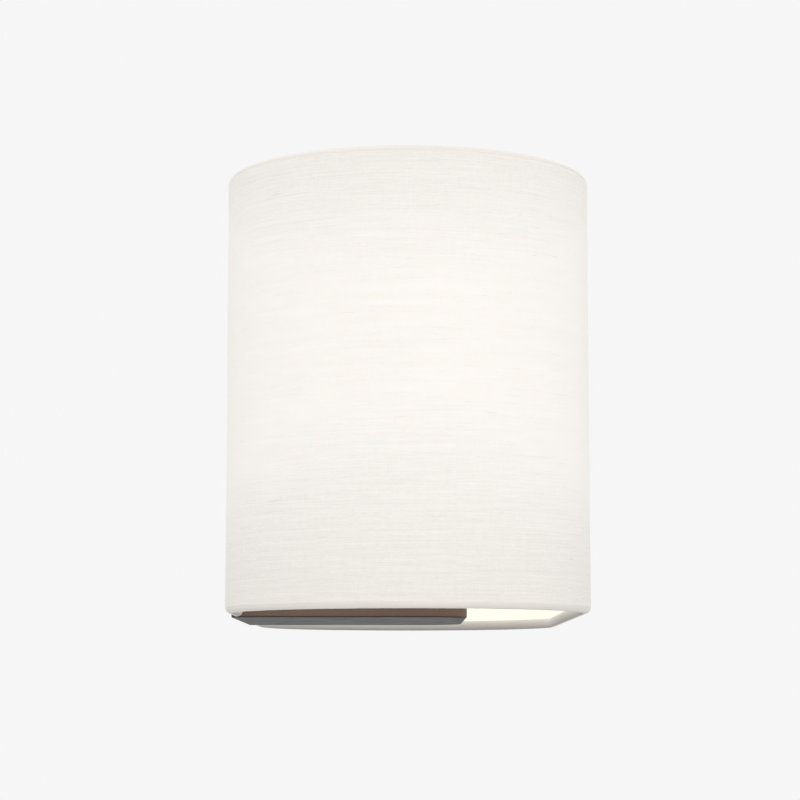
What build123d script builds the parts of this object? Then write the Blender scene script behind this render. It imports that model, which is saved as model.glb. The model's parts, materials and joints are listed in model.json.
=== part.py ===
"""Fabric shade wall light: an oval drum shade, open at the back, that hangs on a post over a bronze
bracket box, with a lampholder and a lamp on each side of the box.

Millimetres. The wall is the plane Y = 0 and the light stands out from it towards -Y. +X runs along the
wall and +Z is up. The origin is midway between the two wall fixing holes, on the strap's back face.
"""

from build123d import *
import math
import os

# Shade: an oval drum with straight front and back and half-round ends
shade_width = 350.0
shade_depth = 144.0
shade_height = 173.0
shade_wall_gap = 1.0
fabric_thickness = 0.75
liner_thickness = 0.5
frame_wire_radius = 1.6
hem_wrap_angle = 250.0
corner_bend_radius = 5.0
back_gap_clearance = 2.0

# Spider that hangs the shade on its post
hub_radius = 15.0
hub_thickness = 2.0
hub_drop = 15.0
spider_spread = 45.0
spider_bend_radius = 6.0

# Bracket box of folded steel sheet, flush with the shade's lower rim
box_width = 124.0
box_reach_past_post = 24.3
box_height = 32.0
box_wall_gap = 0.5
box_corner_radius = 18.0
box_edge_radius = 1.0
sheet_thickness = 1.5
tab_size = 9.0
tab_setback = 24.0
lid_screw_radius = 1.5
lid_screw_length = 6.0
lid_edge_radius = 0.4

# Wall strap that the box hooks on
fixing_height = 16.0
fixing_spacing = 80.0
fixing_hole_radius = 2.5
strap_thickness = 2.0
strap_height = 27.0
lug_length = 20.0
lug_height = 18.0
lug_bend_radius = 3.0
side_screw_radius = 2.0
side_screw_length = 9.0
side_screw_setback = 12.0
emboss_radius = 12.8
emboss_rise = 2.5
entry_hole_radius = 8.0
grommet_flange_radius = 10.6
grommet_flange_thickness = 1.5
grommet_bore_radius = 4.5

# Mains terminal block on a stud, and the earth stud beside it
pole_pitch = 10.0
block_depth = 17.0
block_height = 13.0
block_setback = 33.0
block_edge_radius = 1.0
pole_height = 5.0
clamp_radius = 2.8
clamp_bore_radius = 2.2
clamp_recess = 1.0
clamp_screw_radius = 1.4
clamp_screw_spacing = 8.0
clamp_screw_head = 0.8
block_stud_radius = 1.5
block_stud_height = 16.0
block_nut_flats = 5.5
block_nut_height = 2.4
earth_x = 30.0
earth_setback = 60.0
earth_stud_radius = 2.0
earth_stud_height = 8.0
earth_nut_flats = 7.0
earth_nut_height = 3.2
earth_tag_radius = 4.5
earth_tag_thickness = 0.8
earth_tag_neck = 2.0
earth_barrel_radius = 1.7
earth_barrel_length = 5.0
lead_radius = 0.95
lead_spread = 1.05
lead_gap = 0.35
lead_bend_radius = 6.0
own_side_turn = 14.5
live_cross_turn = 20.4
neutral_cross_turn = 11.0
neutral_cross_rise = 18.7
neutral_cross_drop = 1.5

# Post and its hardware
post_radius = 5.0
post_bore_radius = 3.75
post_tail = 8.0
flange_radius = 9.0
flange_height = 3.0
flange_edge_radius = 1.2
nut_flats = 14.0
nut_height = 3.0
stop_nut_height = 6.0
finial_radius = 9.0
finial_height = 13.0
finial_grip = 9.0
finial_knurls = 30
knurl_radius = 0.7

# Arms that carry the two lampholders
arm_height = 15.0
arm_reach = 85.0
arm_radius = 5.0
arm_bore_radius = 3.5
arm_bend_radius = 14.0
arm_tail = 8.5
arm_end_rise = 0.5
arm_lead_in = 15.7

# Lampholders for a 14 mm screw cap
holder_radius = 14.0
holder_wall = 1.7
dome_height = 16.0
dome_base = 3.0
dome_round = 6.0
insert_height = 6.0
skirt_height = 25.0
skirt_lip = 2.0
skirt_edge_radius = 1.2
skirt_mouth_radius = 8.5
shell_radius = 7.2
shell_wall = 0.4
contact_length = 10.0
contact_width = 3.0
contact_rise = 2.1
contact_thickness = 0.4

# Lamps: opal golf-ball lamps with a 14 mm screw cap
lamp_length = 78.0
globe_radius = 22.5
globe_wall = 1.2
globe_seat_drop = 10.0
cap_radius = 6.9
cap_root_radius = 6.3
cap_wall = 0.4
cap_foot = 0.9
cap_pitch = 2.82
cap_ridges = 5
cap_plain = 3.0
eyelet_radius = 2.4
eyelet_height = 1.0
insulator_height = 2.6
housing_wall = 1.3
housing_waist = 3.0
housing_rim_height = 4.0
board_thickness = 1.6
chip_size = 2.8
chip_height = 0.7
chip_ring_radius = 11.0
chip_count = 8
driver_width = 10.0
driver_thickness = 1.2
capacitor_radius = 2.8
capacitor_length = 9.0
capacitor_foot_width = 1.0

# Clearances
thread_ease = 0.05
seat_gap = 0.2
hole_ease = 0.15
running_gap = 0.3
liner_ease = 0.1

# Worked out from the sizes above
rim = -fixing_height
shade_top = rim + shade_height
shade_axis_y = -(shade_wall_gap + shade_depth / 2)
box_depth = box_reach_past_post - shade_axis_y
shade_straight = (shade_width - shade_depth) / 2
hem_inner_radius = frame_wire_radius + thread_ease
hem_radius = hem_inner_radius + fabric_thickness
back_gap_half = box_width / 2 + back_gap_clearance
stile_x = back_gap_half + hem_radius
spider_inset = fabric_thickness + liner_thickness + liner_ease + frame_wire_radius
hub_top = shade_top - hub_drop
hub_low = hub_top - hub_thickness
floor = rim + sheet_thickness
box_top = rim + box_height
box_inner_half = box_width / 2 - sheet_thickness
lid_top = box_top + sheet_thickness
arm_z = rim + arm_height
dome_low = arm_z + arm_bend_radius + flange_height
insert_low = dome_low + dome_height
shell_low = insert_low + insert_height
skirt_top = insert_low + skirt_height
lamp_low = shell_low + contact_rise + running_gap
lamp_top = lamp_low + lamp_length
pole_z = floor + pole_height
block_y = -block_setback
earth_y = -earth_setback
cap_low = lamp_low + eyelet_height + insulator_height
cap_top = cap_low + cap_foot + cap_ridges * cap_pitch + cap_plain
globe_z = lamp_top - globe_radius
seat_z = globe_z - globe_seat_drop

STAND = (Align.CENTER, Align.CENTER, Align.MIN)
SIDES = {"left": -1, "right": 1}


# Shapes that repeat


def disc(radius, low, high, x=0.0, y=0.0):
    """Upright cylinder between two heights."""
    return Pos(x, y, low) * Cylinder(radius, high - low, align=STAND)


def collar(outer, inner, low, high, x=0.0, y=0.0):
    """Upright ring between two heights."""
    return disc(outer, low, high, x, y) - disc(inner, low, high, x, y)


def rod(radius, start, end):
    """Cylinder from one point to another."""
    along = Vector(*end) - Vector(*start)
    return extrude(Plane(origin=start, z_dir=along) * Circle(radius), along.length)


def block(x_size, y_size, low, high, x=0.0, y=0.0):
    """Upright box between two heights, centred on x and y."""
    return Pos(x, y, low) * Box(x_size, y_size, high - low, align=STAND)


def hexagon(flats, bore, low, high, x=0.0, y=0.0):
    """Upright hexagon nut between two heights."""
    outline = RegularPolygon(flats / 2, 6, major_radius=False) - Circle(bore)
    return Pos(x, y, low) * extrude(outline, high - low)


def turned(points, x=0.0, y=0.0):
    """Solid of revolution about an upright axis, from (radius, height) points."""
    profile = Plane.XZ * make_face(Polyline(*points, close=True))
    return Pos(x, y, 0) * revolve(profile, Axis.Z)


def eased(ring):
    """A flange with its upper outer edge rounded."""
    upper = ring.edges().sort_by(Axis.Z)[-2:]
    return fillet(upper.sort_by(SortBy.LENGTH)[-1], flange_edge_radius)


def group(solids):
    """Several separate solids that share one node."""
    return Compound(children=[solid for part in solids for solid in part.solids()])


def both_sides(make):
    """The same piece on the left and on the right."""
    return group([make(side) for side in SIDES.values()])


# Shade: fabric over a liner, on a frame of steel wire


def oval(inset):
    """Plan of the shade, drawn in from its outer face."""
    return SlotOverall(shade_width - 2 * inset, shade_depth - 2 * inset)


def oval_wall(outer_inset, inner_inset, low, high, gap_half):
    """Upright wall that follows the oval and is open across the back."""
    gap = Rectangle(2 * gap_half, shade_depth, align=(Align.CENTER, Align.MIN))
    ring = oval(outer_inset) - oval(inner_inset) - gap
    return Pos(0, shade_axis_y, low) * extrude(ring, high - low)


def oval_line(inset, z, gap_half=0.0):
    """The oval's line, from one side of the back gap round the front to the other."""
    reach = shade_depth / 2 - inset
    back, front = shade_axis_y + reach, shade_axis_y - reach
    turns = []
    for side in (-1, 1):
        middle = (side * (shade_straight + reach), shade_axis_y, z)
        ends = [(side * shade_straight, back, z), (side * shade_straight, front, z)]
        turns.append(ThreePointArc(ends[0], middle, ends[1]))
    first = Line((-gap_half, back, z), (-shade_straight, back, z))
    along_front = Line((-shade_straight, front, z), (shade_straight, front, z))
    last = Line((shade_straight, back, z), (gap_half, back, z))
    return Wire([first, turns[0], along_front, turns[1], last])


def rim_plane(z, gap_half):
    """Plane square to the oval's line where it starts, X inwards and Y up."""
    start = (-gap_half, -shade_wall_gap - hem_radius, z)
    return Plane(origin=start, x_dir=(0, -1, 0), z_dir=(-1, 0, 0))


def hem_section(turn):
    """Section of fabric rolled round a wire, from the shade's outer face."""
    outer = CenterArc((0, 0), hem_radius, 180, turn)
    inner = CenterArc((0, 0), hem_inner_radius, 180, turn)
    return make_face([outer, inner, Line(outer @ 0, inner @ 0), Line(outer @ 1, inner @ 1)])


def corner_axis():
    """Axis of the bend where the left end of the lower wire turns up beside the back gap."""
    centre = (-(stile_x + corner_bend_radius), 0, rim + hem_radius + corner_bend_radius)
    return Axis(centre, (0, -1, 0))


def lower_run(section, top):
    """A section taken along the lower rim, round its back corners and up both sides of the gap."""
    gap_half = stile_x + corner_bend_radius
    line = oval_line(hem_radius, rim + hem_radius, gap_half)
    start = rim_plane(rim + hem_radius, gap_half)
    corner = revolve(start * section, corner_axis(), 90)
    corner_top = rim + hem_radius + corner_bend_radius
    upright = Plane(
        origin=(-stile_x, -shade_wall_gap - hem_radius, corner_top),
        x_dir=(0, -1, 0),
        z_dir=(0, 0, -1),
    )
    side = extrude(upright * section, top - corner_top, dir=(0, 0, 1))
    end = corner + side
    return sweep(start * section, path=line) + end + mirror(end, Plane.YZ)


def corner_waste(side):
    """What the fabric loses at a lower back corner, where it follows the bend of the wire."""
    low = rim + hem_radius
    centre_x, centre_z = side * (stile_x + corner_bend_radius), low + corner_bend_radius
    back = -shade_wall_gap - hem_radius
    square = block(corner_bend_radius, 2 * hem_radius, low, centre_z, centre_x, back)
    square = Pos(-side * corner_bend_radius / 2) * square
    front = back - 2 * hem_radius
    bend = rod(corner_bend_radius, (centre_x, front, centre_z), (centre_x, 0, centre_z))
    return square - bend


def spider_arm(side, front, radius):
    """Wire from the hub out to the front or back of the top ring, bent up at its end."""
    z = hub_top - hub_thickness / 2
    reach = front * (shade_depth / 2 - spider_inset)
    far = Vector(side * spider_spread, shade_axis_y + reach, z)
    centre = Vector(0, shade_axis_y, z)
    near = centre + (far - centre).normalized() * (hub_radius - hub_thickness)
    top = far + Vector(0, 0, shade_top - hem_radius - z)
    line = FilletPolyline(near, far, top, radius=spider_bend_radius)
    return sweep(Plane(origin=line @ 0, z_dir=line % 0) * Circle(radius), path=line)


def make_shade():
    """Fabric, liner, hems, frame wires and spider."""
    parts = {}
    wire = Circle(frame_wire_radius)
    ring_z = shade_top - hem_radius
    ring_line = oval_line(hem_radius, ring_z)
    top_ring = sweep(rim_plane(ring_z, 0) * wire, path=ring_line)
    hub = Pos(0, shade_axis_y) * collar(hub_radius, post_radius + running_gap, hub_low, hub_top)
    arms = [spider_arm(side, front, frame_wire_radius) for side in (-1, 1) for front in (-1, 1)]
    arm_slits = [spider_arm(side, -1, hem_inner_radius) for side in (-1, 1)]
    lower_wire = lower_run(wire, ring_z)

    hem_line = oval_line(hem_radius, ring_z, back_gap_half)
    top_hem = sweep(rim_plane(ring_z, back_gap_half) * hem_section(-hem_wrap_angle), path=hem_line)
    stile_y = -shade_wall_gap - hem_radius
    for side in SIDES.values():
        top_hem -= disc(hem_inner_radius, rim, ring_z, side * stile_x, stile_y)
    for slit in arm_slits:
        top_hem -= slit
    hem_end = shade_top - 2 * hem_radius - thread_ease

    fabric = oval_wall(0, fabric_thickness, rim + hem_radius, ring_z, stile_x)
    for side in SIDES.values():
        fabric -= corner_waste(side)
    parts["shade_fabric"] = fabric
    liner_inset = fabric_thickness + liner_thickness
    liner_gap = stile_x + frame_wire_radius + liner_ease
    parts["shade_liner"] = oval_wall(
        fabric_thickness,
        liner_inset,
        rim + 2 * hem_radius,
        shade_top - 2 * hem_radius,
        liner_gap + corner_bend_radius,
    )
    parts["top_hem"] = top_hem
    parts["lower_hem"] = lower_run(hem_section(hem_wrap_angle), hem_end)
    parts["top_ring"] = top_ring
    parts["lower_frame"] = lower_wire - top_ring
    parts["spider_hub"] = hub
    parts["spider_arms"] = group([arm - top_ring - hub for arm in arms])
    return parts


# Bracket box: a tray and its lid


def box_plan(inset, overrun=0.0):
    """Plan of the box: square at the wall, rounded at its front corners."""
    length = box_depth - inset + overrun
    plan = Pos(0, overrun - box_wall_gap) * Rectangle(
        box_width - 2 * inset, length, align=(Align.CENTER, Align.MAX)
    )
    front = plan.vertices().sort_by(Axis.Y)[:2]
    return fillet(front, box_corner_radius - inset)


def tab_places():
    """Centres of the four folded tabs that the lid is screwed to."""
    x = box_inner_half - tab_size / 2
    near_front = -box_wall_gap - box_depth + tab_setback
    return [(side * x, y) for side in (-1, 1) for y in (-tab_setback, near_front)]


def make_box():
    """Tray with its studs and tabs, lid and lid screws."""
    parts = {}
    inner_plan = Pos(0, 0, floor) * box_plan(sheet_thickness, overrun=box_wall_gap + sheet_thickness)
    tray = Pos(0, 0, rim) * extrude(box_plan(0), box_height)
    under = tray.faces().sort_by(Axis.Z)[0]
    rounded = [edge for edge in under.edges() if edge.center().Y < -2 * box_wall_gap]
    tray = fillet(rounded, box_edge_radius)
    tray -= extrude(inner_plan, box_height)
    for x, y in tab_places():
        tray += block(tab_size, tab_size, box_top - sheet_thickness, box_top, x, y)
        tray -= disc(lid_screw_radius + thread_ease, rim + sheet_thickness, box_top, x, y)
    for side in SIDES.values():
        wall = side * box_width
        tray -= rod(arm_radius + hole_ease, (0, shade_axis_y, arm_z), (wall, shade_axis_y, arm_z))
        y = -side_screw_setback
        tray -= rod(side_screw_radius + hole_ease, (0, y, 0), (wall, y, 0))
    tray += disc(block_stud_radius, floor, floor + block_stud_height, pole_pitch / 2, block_y)
    tray += disc(earth_stud_radius, floor, floor + earth_stud_height, earth_x, earth_y)

    lid = Pos(0, 0, box_top) * extrude(box_plan(0), sheet_thickness)
    lid = fillet(lid.faces().sort_by(Axis.Z)[-1].edges(), lid_edge_radius)
    lid -= disc(post_radius + hole_ease, box_top, lid_top, 0, shade_axis_y)
    screws = []
    for x, y in tab_places():
        lid -= disc(lid_screw_radius + hole_ease, box_top, lid_top, x, y)
        head_radius, head_top = 2 * lid_screw_radius, lid_top + lid_screw_radius
        shank = disc(lid_screw_radius, lid_top - lid_screw_length, lid_top, x, y)
        head = disc(head_radius, lid_top, head_top, x, y)
        head = fillet(head.edges().sort_by(Axis.Z)[-1], lid_screw_radius / 2)
        slot_low, slot_width = lid_top + lid_screw_radius / 2, lid_screw_radius / 2
        slot = block(2 * head_radius, slot_width, slot_low, head_top, x, y)
        screws.append(shank + head - slot)
    parts["bracket_tray"] = tray
    parts["bracket_lid"] = lid
    parts["lid_screws"] = group(screws)
    return parts


# Wall strap, its grommet and the two side screws that hold the box on it


def make_strap():
    """Strap with two forward lugs and a raised middle for the cable."""
    parts = {}
    half = box_inner_half - running_gap
    outer = Rectangle(2 * half, lug_length, align=(Align.CENTER, Align.MAX))
    outer = fillet(outer.vertices().sort_by(Axis.Y)[-2:], lug_bend_radius)
    room = Pos(0, -strap_thickness) * Rectangle(
        2 * (half - strap_thickness), lug_length, align=(Align.CENTER, Align.MAX)
    )
    room = fillet(room.vertices().sort_by(Axis.Y)[-2:], lug_bend_radius - strap_thickness)
    strap = Pos(0, 0, -strap_height / 2) * extrude(outer - room, strap_height)
    waste_y = -strap_thickness - lug_bend_radius - lug_length
    for low, high in ((-strap_height, -lug_height / 2), (lug_height / 2, strap_height)):
        strap -= block(4 * half, 2 * lug_length, low, high, 0, waste_y)
    face = -strap_thickness
    strap += rod(emboss_radius, (0, face, 0), (0, face - emboss_rise, 0))
    strap -= rod(emboss_radius - strap_thickness, (0, 0, 0), (0, -emboss_rise, 0))
    strap -= rod(entry_hole_radius, (0, 0, 0), (0, -lug_length, 0))
    for side in SIDES.values():
        x = side * fixing_spacing / 2
        strap -= rod(fixing_hole_radius, (x, 0, 0), (x, -strap_thickness, 0))
        y = -side_screw_setback
        strap -= rod(side_screw_radius + thread_ease, (0, y, 0), (side * box_width, y, 0))

    neck_back, neck_front = (0, -emboss_rise, 0), (0, -emboss_rise - strap_thickness, 0)
    back_face = (0, -emboss_rise + grommet_flange_thickness, 0)
    front_face = (0, -emboss_rise - strap_thickness - grommet_flange_thickness, 0)
    grommet = rod(grommet_flange_radius, back_face, neck_back)
    grommet += rod(entry_hole_radius - thread_ease, neck_back, neck_front)
    grommet += rod(grommet_flange_radius, neck_front, front_face)
    grommet -= rod(grommet_bore_radius, (0, 0, 0), (0, -lug_length, 0))

    def side_screw(side):
        y = -side_screw_setback
        outside = side * box_width / 2
        tip, crown = outside - side * side_screw_length, outside + side * side_screw_radius
        shank = rod(side_screw_radius, (tip, y, 0), (outside, y, 0))
        head = rod(2 * side_screw_radius, (outside, y, 0), (crown, y, 0))
        rim_edge = head.edges().sort_by(Axis.X)[-1 if side > 0 else 0]
        return shank + fillet(rim_edge, side_screw_radius * 0.6)

    parts["wall_strap"] = strap
    parts["cable_grommet"] = grommet
    parts["side_screws"] = both_sides(side_screw)
    return parts


# Mains wiring inside the box


def lead(points, radii):
    """Insulated wire along straight runs joined by tangent bends."""
    line = FilletPolyline(*points, radius=radii)
    return sweep(Plane(origin=line @ 0, z_dir=line % 0) * Circle(lead_radius), path=line)


def lamp_lead(from_x, side, level):
    """Wire from a pole through an arm up to a lampholder; one that changes sides takes the far lane."""
    crosses = from_x * side < 0
    lane = -1 if crosses else 1
    arm_y = shade_axis_y + lane * (lead_radius + lead_gap)
    front = block_y - block_depth / 2
    z = pole_z + level * lead_spread
    points = [(from_x, block_y - block_depth / 4, z)]
    if not crosses:
        points.append((from_x, front - own_side_turn, z))
    elif from_x < 0:
        points.append((from_x, front - live_cross_turn, z))
    else:
        points.append((from_x, front - neutral_cross_turn, z))
        points.append((0, front - neutral_cross_rise, arm_z - neutral_cross_drop))
    points.append((side * (box_inner_half - arm_tail - arm_lead_in), arm_y, arm_z))
    points.append((side * arm_reach, arm_y, arm_z))
    points.append((side * arm_reach, arm_y, insert_low))
    bends = [lead_bend_radius] * (len(points) - 3) + [arm_bend_radius]
    return lead(points, bends)


def make_wiring():
    """Terminal block with its clamps and screws, earth terminal and leads."""
    parts = {}
    poles = [-pole_pitch, 0, pole_pitch]
    base = block(3 * pole_pitch, block_depth, floor, floor + block_height, 0, block_y)
    base = fillet(base.edges().filter_by(Axis.Z), block_edge_radius)
    top = floor + block_height
    base -= disc(block_stud_radius + liner_ease, floor, top, pole_pitch / 2, block_y)
    front, back = block_y - block_depth / 2, block_y + block_depth / 2
    clamps, screws = [], []
    for x in poles:
        base -= rod(clamp_radius + thread_ease, (x, front, pole_z), (x, back, pole_z))
        ends = (x, front + clamp_recess, pole_z), (x, back - clamp_recess, pole_z)
        clamp = rod(clamp_radius, *ends)
        clamp -= rod(clamp_bore_radius, (x, front, pole_z), (x, back, pole_z))
        for step in (-0.5, 0.5):
            y = block_y + step * clamp_screw_spacing
            base -= disc(clamp_screw_radius + hole_ease, pole_z, top, x, y)
            clamp -= disc(clamp_screw_radius + thread_ease, pole_z, top, x, y)
            tip = pole_z + clamp_bore_radius
            screw = disc(clamp_screw_radius, tip, top - clamp_screw_head, x, y)
            slot_width = clamp_screw_head / 2
            slot = block(3 * clamp_screw_radius, slot_width, top - 2 * clamp_screw_head, top, x, y)
            screws.append(screw - slot)
        clamps.append(clamp)
    stud_hole, nut_top = block_stud_radius + thread_ease, top + block_nut_height
    nut = hexagon(block_nut_flats, stud_hole, top, nut_top, pole_pitch / 2, block_y)

    tag_top = floor + earth_tag_thickness
    barrel_x = earth_x - earth_tag_radius - earth_barrel_length
    barrel_z = floor + earth_barrel_radius
    hole = earth_stud_radius + thread_ease
    tag = collar(earth_tag_radius, hole, floor, tag_top, earth_x, earth_y)
    neck_x = earth_x - earth_tag_radius
    neck = block(earth_tag_radius, earth_tag_neck, floor, tag_top, neck_x, earth_y)
    tag += neck - disc(hole, floor, tag_top, earth_x, earth_y)
    barrel_start, barrel_end = (barrel_x, earth_y, barrel_z), (neck_x, earth_y, barrel_z)
    barrel_middle = (barrel_x + earth_barrel_length / 2, earth_y, barrel_z)
    tag += rod(earth_barrel_radius, barrel_start, barrel_end)
    tag -= rod(lead_radius + thread_ease, barrel_start, barrel_middle)
    earth_nut = hexagon(earth_nut_flats, hole, tag_top, tag_top + earth_nut_height, earth_x, earth_y)
    earth_lead = lead(
        [
            (0, block_y - block_depth / 4, pole_z),
            (0, earth_y, pole_z),
            (barrel_x - earth_barrel_length, earth_y, barrel_z),
            barrel_middle,
        ],
        [lead_bend_radius, lead_bend_radius],
    )

    parts["terminal_block"] = base
    parts["terminal_clamps"] = group(clamps)
    parts["terminal_screws"] = group(screws)
    parts["block_nut"] = nut
    parts["earth_tag"] = tag
    parts["earth_nut"] = earth_nut
    parts["earth_lead"] = earth_lead
    parts["live_leads"] = group([lamp_lead(-pole_pitch, -1, 1), lamp_lead(-pole_pitch, 1, -1)])
    parts["neutral_leads"] = group([lamp_lead(pole_pitch, 1, 1), lamp_lead(pole_pitch, -1, -1)])
    return parts


# Post that the shade hangs on, and its finial


def make_post():
    """Threaded tube up through the lid, its nuts and the knurled finial."""
    parts = {}
    y = shade_axis_y
    finial_low = hub_top + seat_gap
    post_top = finial_low + finial_grip
    stop_top = hub_low - seat_gap
    bore = post_radius + thread_ease
    parts["shade_post"] = collar(post_radius, post_bore_radius, box_top - post_tail, post_top, 0, y)
    parts["post_lock_nut"] = hexagon(nut_flats, bore, box_top - nut_height, box_top, 0, y)
    flange = collar(flange_radius, bore, lid_top, lid_top + flange_height, 0, y)
    parts["post_flange"] = eased(flange)
    parts["post_stop_nut"] = hexagon(nut_flats, bore, stop_top - stop_nut_height, stop_top, 0, y)

    finial = disc(finial_radius, finial_low, finial_low + finial_height, 0, y)
    finial = fillet(finial.edges().sort_by(Axis.Z)[-1], finial_radius / 3)
    for turn in range(finial_knurls):
        angle = 2 * math.pi * turn / finial_knurls
        x_off, y_off = finial_radius * math.cos(angle), finial_radius * math.sin(angle)
        finial -= disc(knurl_radius, finial_low, finial_low + finial_grip, x_off, y + y_off)
    finial -= disc(bore, finial_low, post_top + running_gap, 0, y)
    parts["finial"] = finial
    return parts


# Lampholder arms


def make_arms():
    """Bent tubes through the sides of the box, with a nut inside and a flange outside."""
    parts = {}
    y = shade_axis_y
    neck_top = dome_low + dome_base + nut_height + arm_end_rise
    for name, side in SIDES.items():
        inner_end = (side * (box_inner_half - arm_tail), y, arm_z)
        line = FilletPolyline(
            inner_end,
            (side * arm_reach, y, arm_z),
            (side * arm_reach, y, neck_top),
            radius=arm_bend_radius,
        )
        section = Circle(arm_radius) - Circle(arm_bore_radius)
        parts[f"lamp_arm_{name}"] = sweep(Plane(origin=line @ 0, z_dir=line % 0) * section, path=line)

    bore = arm_radius + thread_ease

    def lock_nut(side):
        nut = hexagon(nut_flats, bore, 0, nut_height)
        return Pos(side * box_inner_half, y, arm_z) * Rot(0, -side * 90, 0) * nut

    def flange(side):
        ring = eased(collar(flange_radius, bore, 0, flange_height))
        return Pos(side * box_width / 2, y, arm_z) * Rot(0, side * 90, 0) * ring

    def dome_collar(side):
        return collar(flange_radius, bore, dome_low - flange_height, dome_low, side * arm_reach, y)

    def dome_nut(side):
        low = dome_low + dome_base
        return hexagon(nut_flats, bore, low, low + nut_height, side * arm_reach, y)

    parts["arm_lock_nuts"] = both_sides(lock_nut)
    parts["arm_flanges"] = both_sides(flange)
    parts["dome_collars"] = both_sides(dome_collar)
    parts["dome_nuts"] = both_sides(dome_nut)
    return parts


# Lampholders


def make_holder(side, name):
    """Dome, insert, screw shell, centre contact and skirt of one lampholder."""
    x, y = side * arm_reach, shade_axis_y
    inner = holder_radius - holder_wall
    parts = {}

    dome = disc(holder_radius, dome_low, insert_low, x, y)
    dome = fillet(dome.edges().sort_by(Axis.Z)[0], dome_round)
    room = disc(inner, dome_low + dome_base, insert_low + 1, x, y)
    room = fillet(room.edges().sort_by(Axis.Z)[0], dome_round - holder_wall)
    dome -= room
    dome -= disc(arm_radius + thread_ease, dome_low, insert_low, x, y)
    parts[f"holder_dome_{name}"] = dome

    parts[f"holder_insert_{name}"] = disc(inner - thread_ease, insert_low, shell_low, x, y)
    shell_top = skirt_top - skirt_lip - seat_gap
    shell = collar(shell_radius + shell_wall, shell_radius, shell_low, shell_top, x, y)
    parts[f"holder_shell_{name}"] = shell

    skirt = disc(holder_radius, insert_low, skirt_top, x, y)
    skirt = fillet(skirt.edges().sort_by(Axis.Z)[-1], skirt_edge_radius)
    skirt -= disc(inner, insert_low, skirt_top - skirt_lip, x, y)
    skirt -= disc(skirt_mouth_radius, insert_low, skirt_top, x, y)
    parts[f"holder_skirt_{name}"] = skirt

    half = contact_length / 2
    top = ThreePointArc((-half, 0), (0, contact_rise), (half, 0))
    foot = half - contact_thickness
    under = ThreePointArc((-foot, 0), (0, contact_rise - contact_thickness), (foot, 0))
    arch = make_face([top, under, Line(top @ 0, under @ 0), Line(top @ 1, under @ 1)])
    arch = extrude(Plane.XZ * arch, contact_width / 2, both=True)
    parts[f"holder_contact_{name}"] = Pos(x, y, shell_low) * arch
    return parts


# Lamps


def cap_profile():
    """Section of the rolled screw cap: rounded ridges outside, a plain wall inside."""
    start = cap_low + cap_foot
    bore = cap_root_radius - cap_wall
    lines = [Line((bore, cap_low), (cap_root_radius, cap_low))]
    lines.append(Line((cap_root_radius, cap_low), (cap_root_radius, start)))
    for ridge in range(cap_ridges):
        low = start + ridge * cap_pitch
        crest = (cap_radius, low + cap_pitch / 2)
        lines.append(ThreePointArc((cap_root_radius, low), crest, (cap_root_radius, low + cap_pitch)))
    end = start + cap_ridges * cap_pitch
    lines.append(Line((cap_root_radius, end), (cap_root_radius, cap_top)))
    lines.append(Line((cap_root_radius, cap_top), (bore, cap_top)))
    lines.append(Line((bore, cap_top), (bore, cap_low)))
    return make_face(lines)


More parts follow.
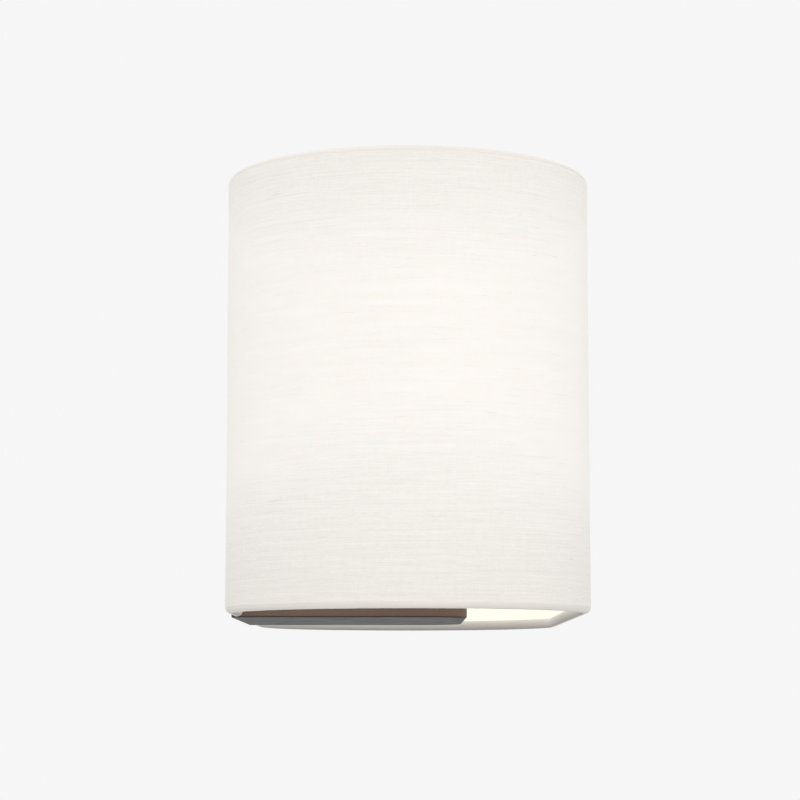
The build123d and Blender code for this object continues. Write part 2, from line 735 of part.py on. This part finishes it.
def make_lamp(side, name):
    """Globe, housing, light board, driver board, cap, insulator and eyelet of one lamp."""
    x, y = side * arm_reach, shade_axis_y
    parts = {}

    seat_radius = math.sqrt(globe_radius**2 - globe_seat_drop**2)
    globe = Pos(x, y, globe_z) * Sphere(globe_radius)
    globe -= Pos(x, y, globe_z) * Sphere(globe_radius - globe_wall)
    globe -= disc(2 * globe_radius, globe_z - 2 * globe_radius, seat_z, x, y)
    parts[f"lamp_globe_{name}"] = globe

    neck_low = cap_top - cap_plain + thread_ease
    neck_inner = cap_root_radius + thread_ease
    neck_outer = neck_inner + housing_wall
    rim_outer = seat_radius + housing_wall / 4
    rim_inner = rim_outer - housing_wall
    rim_low = seat_z - housing_rim_height
    board_low = seat_z - 2 * seat_gap - board_thickness
    ledge_low = board_low - housing_wall
    ledge_inner = rim_inner - 2 * housing_wall
    waist = cap_top + housing_waist
    housing = turned(
        [
            (neck_inner, neck_low),
            (neck_outer, neck_low),
            (neck_outer + housing_wall / 2, waist),
            (rim_outer - housing_wall, rim_low),
            (rim_outer, seat_z - housing_rim_height / 3),
            (rim_outer, seat_z),
            (rim_inner, seat_z),
            (rim_inner, board_low),
            (ledge_inner, board_low),
            (ledge_inner, ledge_low),
            (rim_inner - housing_wall, rim_low - housing_wall),
            (neck_outer - housing_wall / 2, waist),
            (neck_inner, cap_top),
        ],
        x,
        y,
    )
    parts[f"lamp_housing_{name}"] = housing

    board_top = board_low + board_thickness
    board = disc(rim_inner - liner_ease, board_low, board_top, x, y)
    for chip in range(chip_count):
        angle = 2 * math.pi * chip / chip_count
        chip_x = x + chip_ring_radius * math.cos(angle)
        chip_y = y + chip_ring_radius * math.sin(angle)
        board += block(chip_size, chip_size, board_top, board_top + chip_height, chip_x, chip_y)
    parts[f"lamp_board_{name}"] = board

    driver = block(driver_width, driver_thickness, cap_low + thread_ease, board_low - thread_ease, x, y)
    capacitor_y = y + driver_thickness / 2 + capacitor_radius
    driver += disc(capacitor_radius, waist, waist + capacitor_length, x, capacitor_y)
    foot_y = y + (driver_thickness + capacitor_radius) / 2
    foot_top = waist + capacitor_length
    driver += block(capacitor_foot_width, capacitor_radius, waist, foot_top, x, foot_y)
    parts[f"lamp_driver_{name}"] = driver

    profile = Plane.XZ * cap_profile()
    parts[f"lamp_cap_{name}"] = Pos(x, y, 0) * revolve(profile, Axis.Z)

    insulator_low = lamp_low + eyelet_height
    insulator = turned(
        [
            (0, insulator_low),
            (eyelet_radius + 1, insulator_low),
            (cap_root_radius, cap_low),
            (0, cap_low),
        ],
        x,
        y,
    )
    parts[f"lamp_insulator_{name}"] = insulator
    eyelet = disc(eyelet_radius, lamp_low, insulator_low, x, y)
    parts[f"lamp_eyelet_{name}"] = fillet(eyelet.edges().sort_by(Axis.Z)[0], eyelet_height / 2)
    return parts


parts = {}
for made in (make_shade(), make_box(), make_strap(), make_wiring(), make_post(), make_arms()):
    parts.update(made)
for name, side in SIDES.items():
    parts.update(make_holder(side, name))
    parts.update(make_lamp(side, name))

os.makedirs("parts", exist_ok=True)
for name, shape in parts.items():
    export_step(shape, f"parts/{name}.step")
print(len(parts), "nodes")
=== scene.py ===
"""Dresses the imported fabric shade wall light: cloth, finishes, light and camera.

Metres, in the frame of the solids: the wall is the plane Y = 0, the light stands out from it towards -Y,
+X runs along the wall and +Z is up.
"""

import json
import math

import bpy
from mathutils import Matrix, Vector, noise


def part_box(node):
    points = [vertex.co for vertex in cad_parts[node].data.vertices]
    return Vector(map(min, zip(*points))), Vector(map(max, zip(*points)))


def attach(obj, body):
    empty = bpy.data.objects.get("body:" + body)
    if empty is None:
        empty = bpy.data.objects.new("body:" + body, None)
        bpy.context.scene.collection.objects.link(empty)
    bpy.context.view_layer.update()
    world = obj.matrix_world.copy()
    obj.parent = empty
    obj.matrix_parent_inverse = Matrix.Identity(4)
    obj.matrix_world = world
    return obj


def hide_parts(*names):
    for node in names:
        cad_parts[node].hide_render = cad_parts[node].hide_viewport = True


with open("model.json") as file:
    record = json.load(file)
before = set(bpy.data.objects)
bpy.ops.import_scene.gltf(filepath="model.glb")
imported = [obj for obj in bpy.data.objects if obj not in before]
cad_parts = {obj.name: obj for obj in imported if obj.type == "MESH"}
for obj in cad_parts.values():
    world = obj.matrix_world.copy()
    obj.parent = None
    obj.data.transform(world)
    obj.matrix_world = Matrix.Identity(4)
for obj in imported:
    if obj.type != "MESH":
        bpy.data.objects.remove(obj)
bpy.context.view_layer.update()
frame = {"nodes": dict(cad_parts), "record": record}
nodes = frame["nodes"]

MM = 0.001

# Sizes that the cloth shares with the solids, in metres
shade_low, shade_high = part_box("shade_fabric")
cloth_thickness = 0.75 * MM
hem_inner_radius = 1.65 * MM
hem_radius = hem_inner_radius + cloth_thickness
hem_wrap = math.radians(250)
roll_width = hem_radius * hem_wrap
corner_bend = 5.0 * MM
stile_x = 66.4 * MM
back_gap_half = 64.0 * MM
rim_z = shade_low.z - hem_radius
top_z = shade_high.z + hem_radius
half_depth = (shade_high.y - shade_low.y) / 2
axis_y = (shade_high.y + shade_low.y) / 2
straight = shade_high.x - half_depth

# How far the cloth's face is drawn in from the solids' faces and ripples there, how much thinner it is than
# theirs, and the space left under the top hem where the lower one ends
skin_draw_in = 0.12 * MM
skin_ripple = 0.1 * MM
hem_draw_in = 0.12 * MM
skin_thinner = 0.1 * MM
hem_thinner = 0.15 * MM
hem_end_gap = 0.05 * MM

# The skin lies still within this far of the gap's edges, and within this share of its height of the rims
still_border = 10 * MM
still_share = 1 / 8

# Where the two lamps' painted glow on the cloth comes from, near the middle of the shade's height, how far
# from there the glow is at full strength, and the power of distance by which it falls
lamp_x = 85.0 * MM
glow_z = 83.0 * MM
glow_reach = 90.0 * MM
glow_fall = 3.0

# How many squares each cloth piece has along and across
skin_grid = (420, 72)
lower_grid = (1500, 22)
upper_grid = (1300, 22)
smooth_angle = math.radians(50)


# Camera: the photograph's own, found by fitting the shade's rims and sides


def aim(thing, place, target):
    """Puts a camera or lamp at a place, looking at a target with no roll."""
    thing.location = place
    thing.rotation_euler = (Vector(target) - Vector(place)).to_track_quat("-Z", "Y").to_euler()


camera_pitch, camera_yaw = 0.11811, -0.00145
camera_place = Vector((-1.06612, -0.07127, -0.04518))
camera_line = Vector(
    (
        math.cos(camera_pitch) * math.cos(camera_yaw),
        -math.cos(camera_pitch) * math.sin(camera_yaw),
        math.sin(camera_pitch),
    )
)
camera = bpy.data.objects.new("camera", bpy.data.cameras.new("camera"))
bpy.context.scene.collection.objects.link(camera)
camera.data.lens = 109.524
camera.data.sensor_width = 36.0
camera.data.clip_start = 0.01
aim(camera, camera_place, camera_place + camera_line)
bpy.context.scene.camera = camera


# Materials


def linear(hex_colour):
    """An sRGB hex colour as the linear RGBA that a shader takes."""
    values = [int(hex_colour[at : at + 2], 16) / 255 for at in (0, 2, 4)]
    return [v / 12.92 if v <= 0.04045 else ((v + 0.055) / 1.055) ** 2.4 for v in values] + [1.0]


def add(material, kind, inputs=None, **settings):
    """Adds a node with its settings; each input is a value or the output that feeds it."""
    tree = material.node_tree
    made = tree.nodes.new(kind)
    for key, value in settings.items():
        setattr(made, key, value)
    for key, value in (inputs or {}).items():
        if isinstance(value, bpy.types.NodeSocket):
            tree.links.new(value, made.inputs[key])
        else:
            made.inputs[key].default_value = value
    return made


def new_material(name, hex_colour, roughness, **sockets):
    """A material with one Principled shader; sockets are its other plain values."""
    material = bpy.data.materials.new(name)
    material.use_nodes = True
    shader = material.node_tree.nodes["Principled BSDF"]
    shader.inputs["Base Color"].default_value = linear(hex_colour)
    shader.inputs["Roughness"].default_value = roughness
    for key, value in sockets.items():
        shader.inputs[key.replace("_", " ")].default_value = value
    return material, shader


def ramp(material, factor, stops):
    """A colour ramp between two (place, hex colour) stops."""
    made = add(material, "ShaderNodeValToRGB", {"Fac": factor})
    for element, (place, hex_colour) in zip(made.color_ramp.elements, stops):
        element.position = place
        element.color = linear(hex_colour)
    return made.outputs["Color"]


def mix(material, share, first, hex_colour):
    """Mixes a hex colour into a first colour by a share."""
    return add(
        material,
        "ShaderNodeMix",
        {"Factor": share, 6: first, 7: linear(hex_colour)},
        data_type="RGBA",
    ).outputs[2]


def maths(material, operation, first, second):
    """One sum, product or other piece of arithmetic."""
    return add(material, "ShaderNodeMath", {0: first, 1: second}, operation=operation).outputs[0]


def spread(material, value, start, end, low=0.0, high=1.0, **settings):
    """Maps a value from start..end onto low..high, and no further."""
    inputs = {"Value": value, "From Min": start, "From Max": end, "To Min": low, "To Max": high}
    return add(material, "ShaderNodeMapRange", inputs, **settings).outputs["Result"]


def speckled(name, light, dark, roughness, grain_mm, bump_mm, rough_spread=0.08, **sockets):
    """A finish with a fine even grain: two close colours, a bump and a little change in gloss."""
    material, shader = new_material(name, light, roughness, **sockets)
    place = add(material, "ShaderNodeTexCoord").outputs["Object"]
    grain = add(
        material,
        "ShaderNodeTexNoise",
        {"Vector": place, "Scale": 1 / (grain_mm * MM), "Detail": 3.0, "Roughness": 0.6},
    ).outputs["Fac"]
    cloud = add(
        material,
        "ShaderNodeTexNoise",
        {"Vector": place, "Scale": 1 / (14 * grain_mm * MM), "Detail": 2.0},
    ).outputs["Fac"]
    half = maths(material, "MULTIPLY", maths(material, "ADD", grain, cloud), 0.5)
    colour = ramp(material, half, [(0.32, dark), (0.68, light)])
    gloss = spread(material, cloud, 0.3, 0.7, roughness - rough_spread, roughness + rough_spread)
    bump = add(
        material, "ShaderNodeBump", {"Height": grain, "Strength": 0.6, "Distance": bump_mm * MM}
    ).outputs["Normal"]
    for key, output in (("Base Color", colour), ("Roughness", gloss), ("Normal", bump)):
        material.node_tree.links.new(output, shader.inputs[key])
    return material, shader


def sum_of(material, parts):
    """Adds up (output, share) pairs."""
    total = None
    for output, share in parts:
        part = maths(material, "MULTIPLY", output, share)
        total = part if total is None else maths(material, "ADD", total, part)
    return total


def cloth(name, warp, weft, slub_hex, glow=0.0, glow_hex="FFFFFF", inner_shade_hex=None):
    """Plain linen weave: uneven weft threads along the piece, finer warp across, and slubs.

    The piece's UV map is in metres, along the cloth and across it. Threads are 0.4 mm apart; the light
    and dark streaks that show from a step away are one to three threads high and 3 to 60 mm long. Flat
    cloth glows with painted light, an emission that stands in for the lamps behind it. A rolled hem has a
    darker inner colour instead, painted shade on the side rolled inwards: UV across runs round the roll, and
    what is turned in towards the lamps gets painted light from them.
    """
    material, shader = new_material(name, warp, 0.92, Sheen_Weight=0.1, Sheen_Roughness=0.6)
    uv = add(material, "ShaderNodeTexCoord").outputs["UV"]
    patterns = {
        "short": (2.4, 0.42, 1.0),
        "streaks": (14.0, 0.5, 2.0),
        "long": (60.0, 0.8, 1.0),
        "bands": (90.0, 6.0, 2.0),
        "warps": (0.5, 9.0, 1.0),
        "slubs": (11.0, 0.45, 0.0),
    }
    found = {}
    for key, (along, across, detail) in patterns.items():
        scale = (1 / (along * MM), 1 / (across * MM), 1.0)
        place = add(material, "ShaderNodeMapping", {"Vector": uv, "Scale": scale}).outputs[0]
        found[key] = add(
            material, "ShaderNodeTexNoise", {"Vector": place, "Scale": 1.0, "Detail": detail}
        ).outputs["Fac"]
    shares = {"short": 0.26, "streaks": 0.3, "long": 0.24, "bands": 0.06, "warps": 0.14}
    total = sum_of(material, [(found[key], share) for key, share in shares.items()])
    colour = ramp(material, total, [(0.36, weft), (0.64, warp)])
    slub = spread(material, found["slubs"], 0.78, 0.88, high=0.35)
    colour = mix(material, slub, colour, slub_hex)
    # The hem's inner side: painted shade, with an emission that paints in the lamps' light where it faces
    # them
    if inner_shade_hex:
        colour, lit = rolled_light(material, uv, colour, inner_shade_hex)
        shader.inputs["Emission Color"].default_value = linear("FFF9F0")
        material.node_tree.links.new(lit, shader.inputs["Emission Strength"])
    raised = maths(material, "ADD", total, slub)
    bump = add(
        material, "ShaderNodeBump", {"Height": raised, "Strength": 0.35, "Distance": 0.2 * MM}
    ).outputs["Normal"]
    links = material.node_tree.links
    links.new(colour, shader.inputs["Base Color"])
    links.new(bump, shader.inputs["Normal"])
    if glow:
        thin = spread(material, total, 0.3, 0.7, 0.93, 1.07)
        lit = maths(material, "MULTIPLY", lamp_light(material, glow), thin)
        shader.inputs["Emission Color"].default_value = linear(glow_hex)
        links.new(lit, shader.inputs["Emission Strength"])
    return material


def rolled_light(material, uv, colour, inner_shade_hex):
    """Colour and painted glow of a rolled hem, by how far round its roll a point lies.

    The outer third keeps the cloth's colour, with a faint painted glow towards the turn. The rest has the
    darker inner colour, which is painted shade, and gets painted light from the lamps more and more as the
    roll turns back to face them.
    """
    outer_end, inner_start = 0.33 * roll_width, 0.45 * roll_width
    turn_start, faint_end = 0.34 * roll_width, 0.3 * roll_width
    faint_glow, most_light = 0.06, 0.5
    facing_share, all_round_share = 1.05, 0.14
    across = add(material, "ShaderNodeSeparateXYZ", {0: uv}).outputs["Y"]
    inside = spread(material, across, outer_end, inner_start, interpolation_type="SMOOTHSTEP")
    turned = spread(material, across, turn_start, roll_width)
    faint = spread(material, across, 0.0, faint_end, high=faint_glow)
    faint = maths(material, "MULTIPLY", faint, maths(material, "SUBTRACT", 1.0, inside))
    lamps = lamp_light(material, 1.0, most_light)
    facing = maths(material, "MULTIPLY", lamps, turned)
    lit = sum_of(material, [(facing, facing_share), (lamps, all_round_share), (faint, 1.0)])
    return mix(material, inside, colour, inner_shade_hex), lit


def lamp_light(material, strength, most=1.0):
    """Painted light: how brightly the two lamps would light a point of the cloth, as an emission strength
    that falls with distance, up to a most.
    """
    place = add(material, "ShaderNodeTexCoord").outputs["Object"]
    total = None
    for side in (-1, 1):
        lamp = (side * lamp_x, axis_y, glow_z)
        far = add(
            material, "ShaderNodeVectorMath", {0: place, 1: lamp}, operation="DISTANCE"
        ).outputs["Value"]
        part = maths(material, "POWER", maths(material, "DIVIDE", glow_reach, far), glow_fall)
        total = part if total is None else maths(material, "ADD", total, part)
    return maths(material, "MULTIPLY", maths(material, "MINIMUM", total, most), strength)


def paint_edge_shade_and_under_reflection(material, shader, edge_shade_hex, under_shade_and_reflection_hex):
    """Paints a dark line of shade on rounded edges that face outwards and down, and takes the brown from flat
    undersides.

    The dark line is painted shade. The darker grey on undersides is painted shade with a painted reflection
    of the pale surroundings.
    """
    colour = shader.inputs["Base Color"].links[0].from_socket
    normal = add(material, "ShaderNodeNewGeometry").outputs["Normal"]
    down = add(material, "ShaderNodeSeparateXYZ", {0: normal}).outputs["Z"]
    for hex_colour, start, end in ((edge_shade_hex, -0.3, -0.55), (under_shade_and_reflection_hex, -0.93, -0.99)):
        colour = mix(material, spread(material, down, start, end), colour, hex_colour)
    material.node_tree.links.new(colour, shader.inputs["Base Color"])


finishes = {}

# Woven linen over a clear liner, lit from behind: off-white, matt, with uneven weft threads along it. The
# light from behind is painted in, as an emission that falls with distance from the lamps
finishes["linen"] = cloth("woven linen", "F4EFE9", "E8E3DC", "BAB2A5", 0.19, "FAFDFF")
# The same linen rolled over the wire, so little light comes through: greyer and matt. Its inner side is
# painted darker as shade, with painted light from the lamps on the side that is rolled inwards
finishes["hem_linen"] = cloth("rolled linen", "EFEAE4", "E6E1DA", "BDB6AA", inner_shade_hex="82807E")
# Calendered PVC film: smooth satin white, brightly lit by the lamps beside it; that light is painted in as an
# even emission
finishes["liner_pvc"], film = speckled(
    "satin PVC film", "F4F1E8", "EEEADF", 0.45, 1.2, 0.01, IOR=1.54
)
film.inputs["Emission Color"].default_value = linear("FFFDEE")
film.inputs["Emission Strength"].default_value = 0.4
# Stove enamel on drawn steel wire: even off-white, half gloss
finishes["white_wire"], _ = speckled("white stove enamel", "ECEAE4", "E4E1DA", 0.38, 0.8, 0.02, IOR=1.52)
# Polyester powder coat, sprayed and baked: satin bronze brown with a slight orange peel
finishes["bronze_powder_coat"], coat = speckled(
    "bronze powder coat", "695447", "614C40", 0.6, 0.7, 0.03, IOR=1.5
)
# Painted shade: a dark line on the coat's rounded lower edges, and a darker grey on its undersides that also
# paints in their reflection of the pale surroundings
paint_edge_shade_and_under_reflection(finishes["bronze_powder_coat"], coat, "221A15", "323233")
# Turned and knurled brass, chemically bronzed: dark brown metal, a little worn
finishes["bronze_turned"], _ = speckled(
    "bronzed turned brass", "6E5544", "594436", 0.36, 0.5, 0.02, Metallic=0.85
)
# Zinc plate, clear passivated: bright cool grey metal with faint clouding
finishes["zinc_steel"], _ = speckled("zinc plated steel", "C9CBCD", "A9ACB0", 0.34, 0.6, 0.015, Metallic=1.0)
# Moulded EPDM rubber: soft matt black
finishes["grommet_rubber"], _ = speckled("moulded rubber", "262626", "191919", 0.72, 0.5, 0.03, IOR=1.5)
# Compression-moulded thermoset: dense white, slight gloss
finishes["holder_phenolic"], _ = speckled("moulded thermoset", "EDEBE4", "E4E1D8", 0.35, 1.0, 0.01, IOR=1.55)
# Dry-pressed steatite, unglazed: matt cream, fine pits
finishes["holder_ceramic"], _ = speckled("unglazed steatite", "E6E1D5", "D6CFC0", 0.7, 0.35, 0.04, IOR=1.6)
# Stamped brass strip: yellow metal with drawn streaks
finishes["contact_brass"], _ = speckled("stamped brass", "D2AE62", "B58E45", 0.3, 0.4, 0.01, Metallic=1.0)
# Opal polycarbonate, blown: milky white, glows evenly when lit
finishes["opal_globe"], opal = speckled("opal polycarbonate", "FBF8F0", "F6F2E8", 0.3, 2.0, 0.005, IOR=1.58)
opal.inputs["Emission Color"].default_value = linear("FFF6E6")
opal.inputs["Emission Strength"].default_value = 1.9
# Injection-moulded PBT: glossy white with a very fine texture
finishes["lamp_plastic"], _ = speckled("moulded white plastic", "F0EFEB", "E8E6E1", 0.3, 0.8, 0.01, IOR=1.53)
# White solder mask over an aluminium core: bright, half gloss
finishes["board_aluminium"], _ = speckled("white board mask", "EFEFEC", "E2E2DE", 0.4, 0.4, 0.01, IOR=1.52)
# Glass-epoxy board under green mask: dark green, half gloss, faint glass weave
finishes["driver_board"], _ = speckled("green circuit board", "2F6A3C", "245430", 0.4, 0.3, 0.01, IOR=1.52)
# Rolled nickel plate: warm grey bright metal
finishes["nickel_cap"], _ = speckled("rolled nickel plate", "D2CFC6", "B9B5AB", 0.24, 0.5, 0.01, Metallic=1.0)
# Fused insulating glass: black, glossy, a little uneven
finishes["insulator_glass"], _ = speckled("insulating glass", "1B191B", "121012", 0.16, 0.8, 0.02, IOR=1.6)
# Tin solder, flowed: soft grey metal, lumpy
finishes["solder"], _ = speckled("flowed solder", "C4C4C4", "A4A5A7", 0.36, 0.8, 0.08, Metallic=1.0)
# Injection-moulded natural nylon: waxy off-white
finishes["block_nylon"], _ = speckled("natural nylon", "E9E7DC", "DEDBCD", 0.45, 0.7, 0.02, IOR=1.53)
# Extruded silicone sleeves: even colour, slight gloss, faint die lines
finishes["lead_brown"], _ = speckled("brown silicone", "5B3520", "4C2B19", 0.42, 0.5, 0.01, IOR=1.43)
finishes["lead_blue"], _ = speckled("blue silicone", "2F5FA8", "27508F", 0.42, 0.5, 0.01, IOR=1.43)
finishes["lead_green"], _ = speckled("green silicone", "5E9A2E", "4F8526", 0.42, 0.5, 0.01, IOR=1.43)

slots = {part["node"]: part["material_slot"] for part in frame["record"]["subparts"]}
for name, thing in nodes.items():
    thing.data.materials.clear()
    thing.data.materials.append(finishes[slots[name]])


# Cloth


def shade_line(distance, inset, edge_x):
    """Point of the oval's line and its inward normal, from the back gap's left edge round the front.

    Distance is measured on the line that is drawn in by inset from the shade's outer face. The gap's
    edges are at edge_x to the left and right of the middle.
    """
    reach = half_depth - inset
    back = straight - edge_x
    turn = math.pi * reach
    runs = [back, turn, 2 * straight, turn, back]
    rest = distance
    for index, run in enumerate(runs):
        if rest <= run or index == len(runs) - 1:
            break
        rest -= run
    if index == 0:
        return Vector((-edge_x - rest, axis_y + reach, 0)), Vector((0, -1, 0))
    if index == 4:
        return Vector((straight - rest, axis_y + reach, 0)), Vector((0, -1, 0))
    if index == 2:
        return Vector((-straight + rest, axis_y - reach, 0)), Vector((0, 1, 0))
    side, start = (-1, math.pi / 2) if index == 1 else (1, -math.pi / 2)
    angle = start + rest / reach
    out = Vector((math.cos(angle), math.sin(angle), 0))
    return Vector((side * straight, axis_y, 0)) + reach * out, -out


def line_length(inset, edge_x):
    """Length of the oval's line from one edge of the back gap to the other."""
    return 2 * (straight - edge_x) + 2 * math.pi * (half_depth - inset) + 2 * straight


def cloth_piece(name, length, width, grid, place):
    """A flat grid of cloth, length by width, with each point then moved to place(along, across).

    Its UV map keeps the flat cloth's metres, so that the weave follows the threads.
    """
    bpy.ops.object.select_all(action="DESELECT")
    bpy.ops.mesh.primitive_grid_add(x_subdivisions=grid[0], y_subdivisions=grid[1], size=1)
    piece = bpy.context.object
    piece.name = name
    piece.data.name = name
    flat = [((v.co.x + 0.5) * length, (v.co.y + 0.5) * width) for v in piece.data.vertices]
    uv = piece.data.uv_layers.active.data
    for loop in piece.data.loops:
        uv[loop.index].uv = flat[loop.vertex_index]
    for vertex, (along, across) in zip(piece.data.vertices, flat):
        vertex.co = place(along, across)
    return piece


def thicken(piece, thickness, turn_over=False):
    """Gives cloth its thickness, inwards from the face that shows, and smooth shading."""
    bpy.ops.object.select_all(action="DESELECT")
    piece.select_set(True)
    bpy.context.view_layer.objects.active = piece
    bpy.ops.object.mode_set(mode="EDIT")
    bpy.ops.mesh.select_all(action="SELECT")
    if turn_over:
        bpy.ops.mesh.flip_normals()
    bpy.ops.object.mode_set(mode="OBJECT")
    wall = piece.modifiers.new("thickness", "SOLIDIFY")
    wall.thickness = thickness
    wall.offset = -1.0
    bpy.ops.object.modifier_apply(modifier=wall.name)
    bpy.ops.object.shade_smooth_by_angle(angle=smooth_angle)
    return piece


skin_low, skin_high = shade_low.z, shade_high.z
skin_length = line_length(0, stile_x)


def skin_place(along, across):
    """Where a point of the flat skin lies on the shade, drawn in unevenly by 0.22 mm at most."""
    point, inward = shade_line(along, 0, stile_x)
    nearest = min(along, skin_length - along)
    low = skin_low
    if nearest < corner_bend:
        low += corner_bend - math.sqrt(corner_bend**2 - (corner_bend - nearest) ** 2)
    share = across / (skin_high - skin_low)
    point.z = low + share * (skin_high - low)
    quiet = min(1.0, share / still_share, (1 - share) / still_share, nearest / still_border)
    ripple = noise.noise(Vector((along / 0.045, point.z / 0.06, 3.7)))
    return point + inward * (skin_draw_in + skin_ripple * ripple) * quiet


skin = cloth_piece("fabric_skin", skin_length, skin_high - skin_low, skin_grid, skin_place)
thicken(skin, cloth_thickness - skin_thinner)
skin.data.materials.append(finishes["linen"])
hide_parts("shade_fabric")
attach(skin, "shade")


def pucker(along, angle):
    """How far the rolled cloth stands off its wire: small gathers, deeper on the inner side."""
    inner = min(1.0, abs(angle) / math.pi)
    gather = noise.noise(Vector((along / 0.0022, angle * 0.7, 9.1)))
    slow = noise.noise(Vector((along / 0.014, angle * 0.5, 2.3)))
    return (0.07 * gather + 0.06 * slow) * inner * MM


def hem_point(centre, inward, up, along, angle):
    """Point of the roll at an angle from its outer face, turning by way of up or down."""
    radius = hem_radius - hem_draw_in + pucker(along, angle)
    return centre - inward * radius * math.cos(angle) + up * radius * math.sin(angle)


lower_edge = stile_x + corner_bend
low_run = line_length(hem_radius, lower_edge)
bend_run = math.pi / 2 * corner_bend
corner_top = rim_z + hem_radius + corner_bend
side_run = top_z - 2 * hem_radius - hem_end_gap - corner_top
low_length = low_run + 2 * (bend_run + side_run)


def lower_place(along, across):
    """Where a point of the lower hem's strip lies: down one side of the gap, round the rim, up the other."""
    angle = -across / hem_radius
    start = side_run + bend_run
    if start <= along <= start + low_run:
        point, inward = shade_line(along - start, hem_radius, lower_edge)
        point.z = rim_z + hem_radius
        return hem_point(point, inward, Vector((0, 0, 1)), along, angle)
    side = -1 if along < start else 1
    rest = start - along if side < 0 else along - start - low_run
    inward = Vector((0, -1, 0))
    back_y = axis_y + half_depth - hem_radius
    if rest <= bend_run:
        turn = rest / corner_bend
        x = stile_x + corner_bend - corner_bend * math.sin(turn)
        z = corner_top - corner_bend * math.cos(turn)
        up = Vector((side * math.sin(turn), 0, math.cos(turn)))
    else:
        x, z = stile_x, corner_top + rest - bend_run
        up = Vector((side, 0, 0))
    return hem_point(Vector((side * x, back_y, z)), inward, up, along, angle)


lower_hem = cloth_piece("lower_hem_roll", low_length, roll_width, lower_grid, lower_place)
thicken(lower_hem, cloth_thickness - hem_thinner, turn_over=True)
lower_hem.data.materials.append(finishes["hem_linen"])
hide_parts("lower_hem")
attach(lower_hem, "shade")

top_length = line_length(hem_radius, back_gap_half)


def upper_place(along, across):
    """Where a point of the top hem's strip lies, rolled over the top ring to the inside."""
    point, inward = shade_line(along, hem_radius, back_gap_half)
    point.z = top_z - hem_radius
    return hem_point(point, inward, Vector((0, 0, 1)), along, across / hem_radius)


upper_hem = cloth_piece("top_hem_roll", top_length, roll_width, upper_grid, upper_place)
thicken(upper_hem, cloth_thickness - hem_thinner)
upper_hem.data.materials.append(finishes["hem_linen"])
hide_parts("top_hem")
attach(upper_hem, "shade")


# Stage: a pale floor below the light, and plain soft studio light

white = "F6F6F6"
floor_z = -0.42
floor_size = 60
shadow_share = 0.6
fade_start, fade_end = 0.4, 1.8
ambient_strength = 0.8
middle_z = 0.07


def plain_rays(owner):
    """1 for rays that show the background: from the camera, in a reflection or through something."""
    path = add(owner, "ShaderNodeLightPath")
    either = path.outputs["Is Camera Ray"]
    for kind in ("Is Glossy Ray", "Is Transmission Ray"):
        either = maths(owner, "MAXIMUM", either, path.outputs[kind])
    return either


# The floor shows white with the light's shadow on it near its middle, and bounces little light up
floor_material, floor_shader = new_material("pale floor", "C4C4C4", 0.9)
lit_floor = add(floor_material, "ShaderNodeBsdfDiffuse", {"Color": linear(white)})
plain_floor = add(floor_material, "ShaderNodeEmission", {"Color": linear(white), "Strength": 1.0})
floor_place = add(floor_material, "ShaderNodeTexCoord").outputs["Object"]
floor_far = add(floor_material, "ShaderNodeVectorMath", {0: floor_place}, operation="LENGTH")
floor_share = spread(
    floor_material,
    floor_far.outputs["Value"],
    fade_start,
    fade_end,
    shadow_share,
    0.0,
    interpolation_type="SMOOTHSTEP",
)
floor_seen = add(
    floor_material,
    "ShaderNodeMixShader",
    {0: floor_share, 1: plain_floor.outputs[0], 2: lit_floor.outputs[0]},
)
floor_mix = add(
    floor_material,
    "ShaderNodeMixShader",
    {0: plain_rays(floor_material), 1: floor_shader.outputs[0], 2: floor_seen.outputs[0]},
)
floor_material.node_tree.links.new(
    floor_mix.outputs[0], floor_material.node_tree.nodes["Material Output"].inputs["Surface"]
)
bpy.ops.object.select_all(action="DESELECT")
bpy.ops.mesh.primitive_plane_add(size=floor_size, location=(0, 0, floor_z))
floor = bpy.context.object
floor.name = "floor"
floor.data.materials.append(floor_material)

world = bpy.data.worlds.new("studio")
bpy.context.scene.world = world
world.use_nodes = True
ambient = world.node_tree.nodes["Background"]
ambient.inputs["Color"].default_value = linear("FFFFFF")
ambient.inputs["Strength"].default_value = ambient_strength
seen = add(world, "ShaderNodeBackground", {"Color": linear(white), "Strength": 1.0})
mixed = add(
    world,
    "ShaderNodeMixShader",
    {0: plain_rays(world), 1: ambient.outputs[0], 2: seen.outputs[0]},
)
world.node_tree.links.new(mixed.outputs[0], world.node_tree.nodes["World Output"].inputs["Surface"])


def soft_lamp(name, place, size, power):
    """A square area lamp aimed at the middle of the light."""
    data = bpy.data.lights.new(name, "AREA")
    data.size = size
    data.energy = power
    lamp = bpy.data.objects.new(name, data)
    bpy.context.scene.collection.objects.link(lamp)
    aim(lamp, place, (0, axis_y, middle_z))


soft_lamp("key_lamp", (-2.3, -0.3, -0.4), 1.6, 26)
soft_lamp("front_lamp", (0.4, -2.4, 1.0), 1.6, 5)
soft_lamp("back_lamp", (0.5, 2.0, 1.4), 1.4, 8)

bpy.context.scene.view_settings.view_transform = "Standard"
